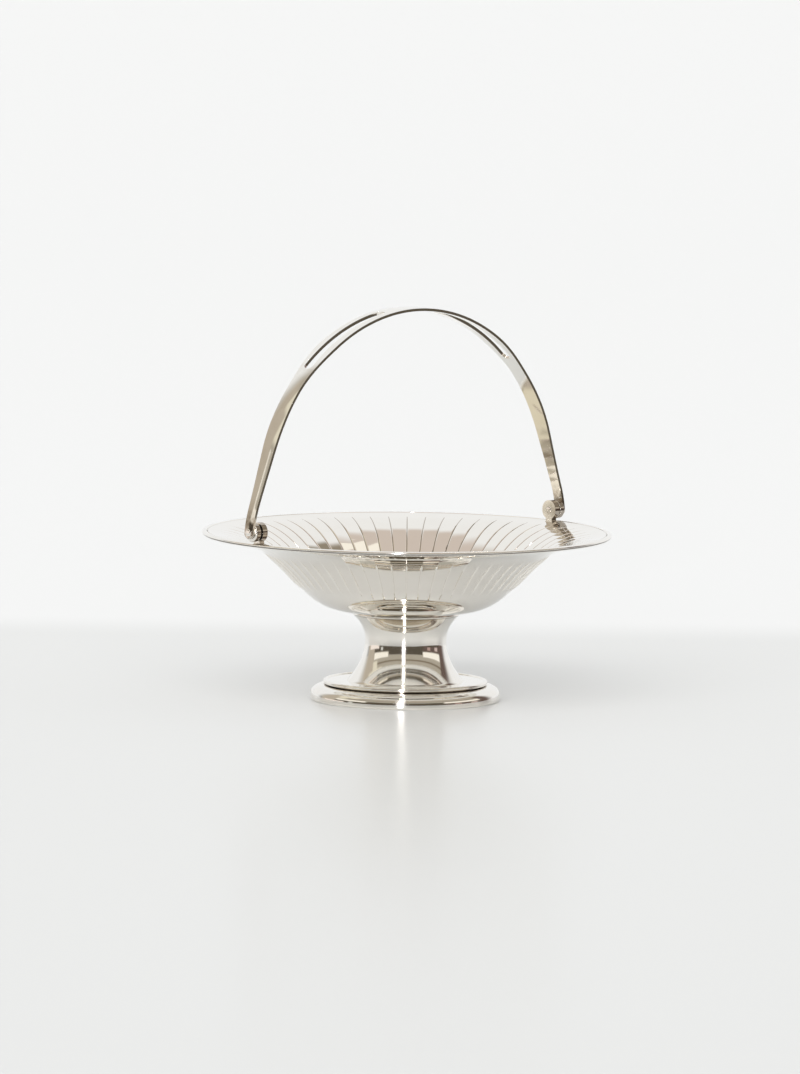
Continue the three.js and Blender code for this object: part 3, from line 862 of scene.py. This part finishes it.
def make_room():
    """Lays the room's parts over one another, later ones in front."""
    world = bpy.data.worlds.new("room")
    bpy.context.scene.world = world
    world.use_nodes = True
    tree = world.node_tree
    direction = tree.nodes.new("ShaderNodeTexCoord").outputs["Generated"]
    to_right, to_camera = along(tree, direction, right), along(tree, direction, flat_toward)
    to_sky = along(tree, direction, (0, 0, 1))
    heading = math_node(tree, "DEGREES", math_node(tree, "ARCTAN2", to_right, to_camera))
    aside = math_node(tree, "ABSOLUTE", heading)
    height = math_node(tree, "DEGREES", math_node(tree, "ARCSINE", to_sky))

    def patch(across, start, end, up, low, high, soft=0.6):
        return product(tree, band(tree, across, start, end, soft), band(tree, up, low, high, soft))

    # Dark low down and round the camera, with walls above
    room = over(tree, ramp(tree, heading, 40, 60), SHADE, RUSTY_SHADE)
    room = over(tree, ramp(tree, height, 9, 10.5), room, WALLS)
    room = over(tree, patch(aside, -1, 48, height, -90, 17), room, SHADE)
    room = over(tree, patch(heading, 60, 104, height, -90, 0), room, SHADE)
    # Windows on both sides, a moulding over them and the ceiling
    for start, end, colour in LOW_PANES:
        room = over(tree, patch(heading, start, end, height, 1, 7), room, colour)
    for start, end in WINDOWS:
        room = over(tree, patch(heading, start, end, height, 11, 21), room, WINDOW)
    room = over(tree, patch(aside, -1, 108, height, 28, 31), room, MOULDING)
    room = over(tree, ramp(tree, height, 42, 62), room, CEILING)
    # Posts and lit panels beside the table
    room = over(tree, patch(heading, *LEFT_POST, height, -15, 44, 2), room, SIDE_WALLS)
    room = over(tree, patch(heading, -115, -80, height, -15, 4), room, PINK_PANEL)
    room = over(tree, patch(heading, -108, -70, height, 36, 62, 2), room, LIT_WALL)
    room = over(tree, patch(heading, -97, -84, height, 24, 40, 2), room, LIT_WALL)
    room = over(tree, patch(heading, *RIGHT_POST, height, -15, 38, 2), room, RUSTY_SHADE)
    # The pale backdrop behind the bowl
    low_enough = ramp(tree, height, 66, 58)
    for start, end in ((116, 136), (-116, -136)):
        behind = product(tree, ramp(tree, heading, start, end), low_enough)
        room = over(tree, behind, room, BACKDROP)
    # Overhead
    room = over(tree, patch(to_right, 0.43, 0.6, to_camera, -0.5, -0.2, 0.03), room, CEILING_SHADE)
    for start, end in SKYLIGHTS:
        room = over(tree, patch(to_right, start, end, to_camera, -0.26, 0.05, 0.004), room, WINDOW)
    room = over(tree, patch(heading, *HALO_SPAN, height, *STRIP_HEIGHT, 3), room, HALO)
    room = over(tree, patch(heading, *STRIP_SPAN, height, *STRIP_HEIGHT, 0.5), room, STRIP)

    path = tree.nodes.new("ShaderNodeLightPath").outputs
    mirrored = math_node(tree, "MAXIMUM", path["Is Glossy Ray"], path["Is Transmission Ray"])
    seen = over(tree, path["Is Camera Ray"], PLAIN, BACKDROP)
    link(tree, over(tree, mirrored, seen, room), tree.nodes["Background"].inputs["Color"])


make_room()


# Lamps, so far away that they light everything evenly

def lamp(name, strength, spread, direction, in_metal):
    """A lamp that shines from a direction, as many degrees wide as its spread."""
    light = bpy.data.lights.new(name, "SUN")
    light.energy = strength
    light.angle = math.radians(spread)
    obj = bpy.data.objects.new(name, light)
    obj.matrix_world = direction.to_track_quat("Z", "Y").to_matrix().to_4x4()
    obj.visible_glossy = in_metal
    bpy.context.scene.collection.objects.link(obj)


lamp("flash", strength=0.3, spread=1.5, direction=toward - right * 0.1, in_metal=True)
# Soft light from the windows, which the metal shows as the room's own windows instead
from_windows = flat_toward - right * 0.2 + Vector((0, 0, 0.5))
lamp("window_light", strength=2.3, spread=70, direction=from_windows, in_metal=False)

bpy.context.scene.view_settings.view_transform = "Standard"
